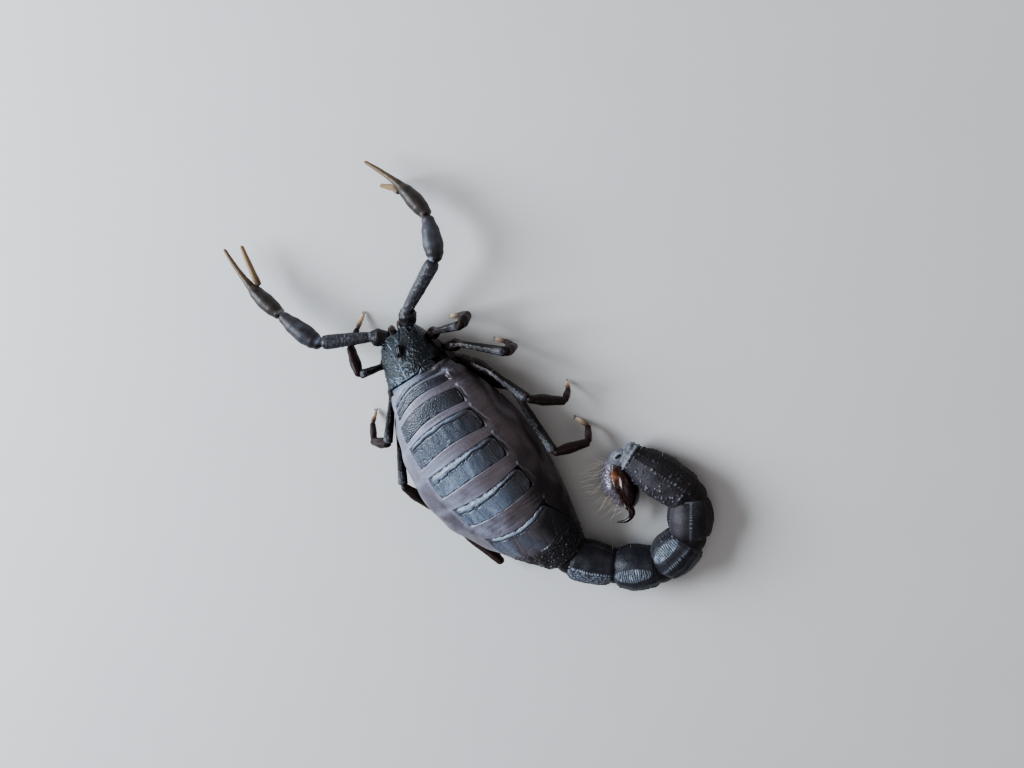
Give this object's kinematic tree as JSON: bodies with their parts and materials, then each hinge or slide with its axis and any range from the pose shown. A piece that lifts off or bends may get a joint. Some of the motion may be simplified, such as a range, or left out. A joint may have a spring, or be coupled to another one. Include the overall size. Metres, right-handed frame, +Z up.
{
  "type": "scorpion",
  "caption": "Still life-size thick-tailed scorpion, a gravid female at rest: swollen abdomen with separate back plates, slender claws, and a thick tail curled flat to one side",
  "frame": {"origin": "on the floor under the middle of the animal's overall box: the belly, the feet and the tail rest on z = 0", "axes": "+Z up, +Y towards the head, +X to the animal's right side, the side its tail lies on"},
  "size_m": [0.042, 0.0828, 0.0125],
  "materials": {
    "membrane": "satin, finely wrinkled skin between the plates, mauve grey",
    "back_plates": "granular horny shell, blue black with a dull sheen",
    "carapace_shell": "coarsely granular horny shell, black",
    "coxal_shell": "smooth horny shell, dark red brown",
    "eye_lens": "wet-looking black lens",
    "pedipalp_shell": "granular horny shell, grey black",
    "claw_shell": "smooth horny shell, grey brown to tan",
    "leg_shell": "glossy horny shell, dark red brown",
    "foot_shell": "thin translucent shell, pale tan",
    "tail_shell": "ridged and granular horny shell, black",
    "telson_shell": "horny shell, dark red brown, rough below and glossy above"
  },
  "bodies": {
    "root": {"abdomen": "membrane", "carapace": "carapace_shell", "chelicera_left": "coxal_shell", "chelicera_right": "coxal_shell", "coxal_plate": "coxal_shell", "eye_left": "eye_lens", "eye_right": "eye_lens", "leg_left_1_femur": "leg_shell", "leg_left_1_patella": "leg_shell", "leg_left_1_tarsus": "foot_shell", "leg_left_1_tibia": "leg_shell", "leg_left_2_femur": "leg_shell", "leg_left_2_patella": "leg_shell", "leg_left_2_tarsus": "foot_shell", "leg_left_2_tibia": "leg_shell", "leg_left_3_femur": "leg_shell", "leg_left_3_patella": "leg_shell", "leg_left_3_tarsus": "foot_shell", "leg_left_3_tibia": "leg_shell", "leg_left_4_femur": "leg_shell", "leg_left_4_patella": "leg_shell", "leg_left_4_tarsus": "foot_shell", "leg_left_4_tibia": "leg_shell", "leg_right_1_femur": "leg_shell", "leg_right_1_patella": "leg_shell", "leg_right_1_tarsus": "foot_shell", "leg_right_1_tibia": "leg_shell", "leg_right_2_femur": "leg_shell", "leg_right_2_patella": "leg_shell", "leg_right_2_tarsus": "foot_shell", "leg_right_2_tibia": "leg_shell", "leg_right_3_femur": "leg_shell", "leg_right_3_patella": "leg_shell", "leg_right_3_tarsus": "foot_shell", "leg_right_3_tibia": "leg_shell", "leg_right_4_femur": "leg_shell", "leg_right_4_patella": "leg_shell", "leg_right_4_tarsus": "foot_shell", "leg_right_4_tibia": "leg_shell", "pedipalp_left_femur": "pedipalp_shell", "pedipalp_left_finger": "claw_shell", "pedipalp_left_hand": "claw_shell", "pedipalp_left_patella": "pedipalp_shell", "pedipalp_right_femur": "pedipalp_shell", "pedipalp_right_finger": "claw_shell", "pedipalp_right_hand": "claw_shell", "pedipalp_right_patella": "pedipalp_shell", "tail_1": "tail_shell", "tail_2": "tail_shell", "tail_3": "tail_shell", "tail_4": "tail_shell", "tail_5": "tail_shell", "telson": "telson_shell", "tergite_1": "back_plates", "tergite_2": "back_plates", "tergite_3": "back_plates", "tergite_4": "back_plates", "tergite_5": "back_plates", "tergite_6": "back_plates", "tergite_7": "back_plates"}
  },
  "joints": []
}
